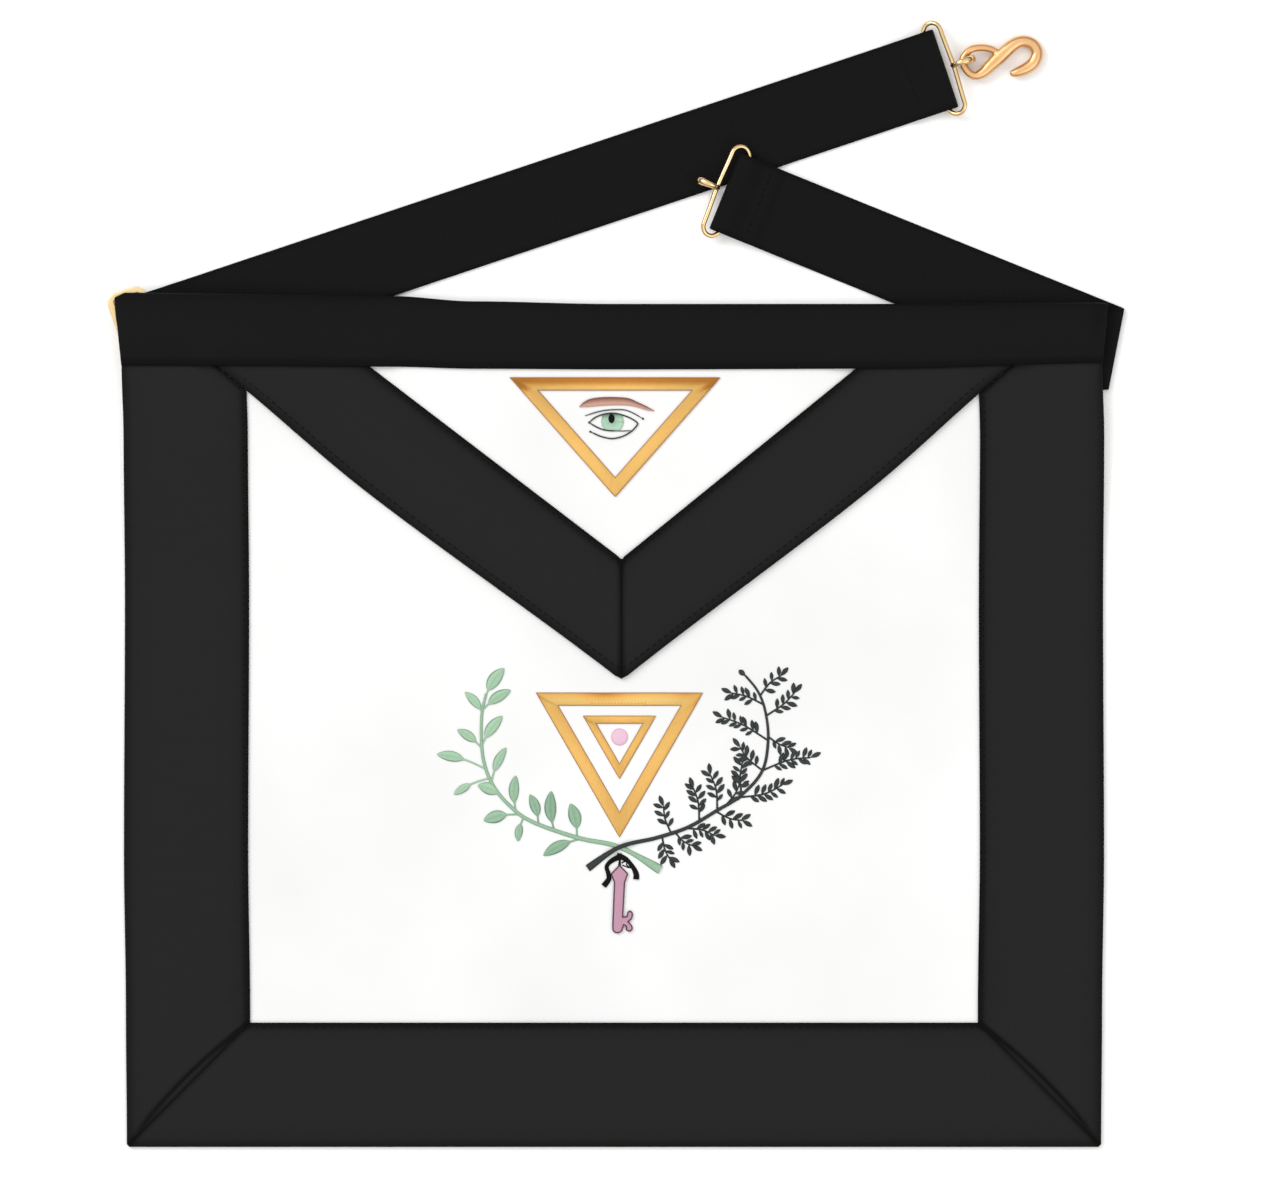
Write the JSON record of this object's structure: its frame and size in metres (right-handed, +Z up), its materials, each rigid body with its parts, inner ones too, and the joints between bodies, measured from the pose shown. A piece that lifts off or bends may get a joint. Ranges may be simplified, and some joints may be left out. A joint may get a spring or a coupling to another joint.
{
  "type": "masonic apron",
  "caption": "Flat rectangular cloth apron with a triangular flap, wide ribbon edges, embroidered emblems and a webbing belt that closes with a snake hook and a ring eye.",
  "frame": {"origin": "middle of the panel's back, on the surface that the apron lies on", "axes": "+Z up from the surface towards the viewer, +Y from the panel's bottom edge towards the belt, +X to the viewer's right"},
  "size_m": [0.4222, 0.4677, 0.0125],
  "materials": {
    "white_cloth": "matte fine weave",
    "black_ribbon": "matte ribbed ribbon",
    "waistband_ribbon": "matte ribbed ribbon",
    "black_webbing": "woven belt webbing",
    "gilt_metal": "bright gilt wire",
    "gilt_cast": "smooth gilt casting",
    "gold_thread": "satin stitch",
    "brown_thread": "satin stitch",
    "iris_thread": "satin stitch",
    "black_thread": "satin stitch",
    "pale_pink_thread": "satin stitch",
    "green_thread": "satin stitch",
    "olive_thread": "satin stitch",
    "pink_thread": "satin stitch"
  },
  "bodies": {
    "apron": {"apron_panel": "white_cloth", "binding_left": "black_ribbon", "binding_right": "black_ribbon", "binding_bottom": "black_ribbon", "waistband": "waistband_ribbon", "flap": "white_cloth", "flap_binding_left": "black_ribbon", "flap_binding_right": "black_ribbon", "belt_left": "black_webbing", "belt_right": "black_webbing", "belt_slider": "gilt_metal", "clasp_ring": "gilt_metal", "catch_ring": "gilt_metal", "upper_triangle": "gold_thread", "eye_brow": "brown_thread", "eye_iris": "iris_thread", "eye_pupil": "black_thread", "lower_triangle": "gold_thread", "inner_triangle": "gold_thread", "inner_disc": "pale_pink_thread", "laurel_branch": "green_thread", "olive_branch": "olive_thread", "ribbon_tails": "black_thread", "emblem_key": "pink_thread"},
    "hook": {"snake_hook": "gilt_cast"}
  },
  "joints": [
    {"name": "hook_swing", "type": "hinge", "parent": "apron", "child": "hook", "pos_m": [0.14484, 0.27505, 0.00395], "axis": [0.3173, -0.9483, 0], "range_deg": [0, 120]}
  ]
}
